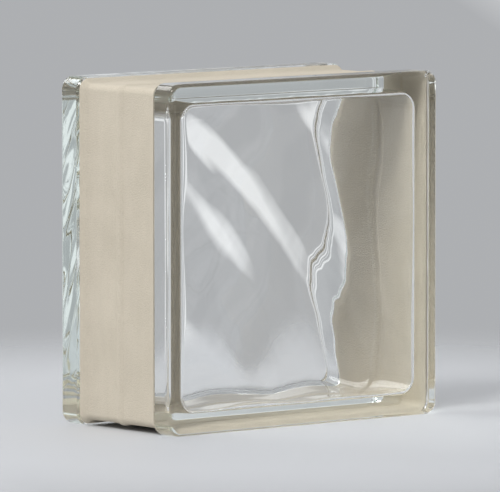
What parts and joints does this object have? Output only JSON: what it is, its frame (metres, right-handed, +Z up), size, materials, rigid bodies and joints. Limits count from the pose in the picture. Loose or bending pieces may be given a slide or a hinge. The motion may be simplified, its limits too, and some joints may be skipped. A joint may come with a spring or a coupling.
{
  "type": "glass block",
  "caption": "Square hollow glass block with two wavy-backed clear faces and a coated mortar channel round its edge, for light-passing walls and partitions.",
  "frame": {"origin": "middle of the underside, where the block stands on its bearing lips", "axes": "+Z up as laid in a wall, +X to the right along the wall seen from the front, -Y out of the front face"},
  "size_m": [0.19, 0.095, 0.19],
  "materials": {
    "clear_glass": "clear pressed glass, smooth outside and softly waved inside",
    "edge_film": "matt beige-grey film that takes mortar"
  },
  "bodies": {
    "root": {"front_half": "clear_glass", "back_half": "clear_glass", "edge_coating": "edge_film"}
  },
  "joints": []
}
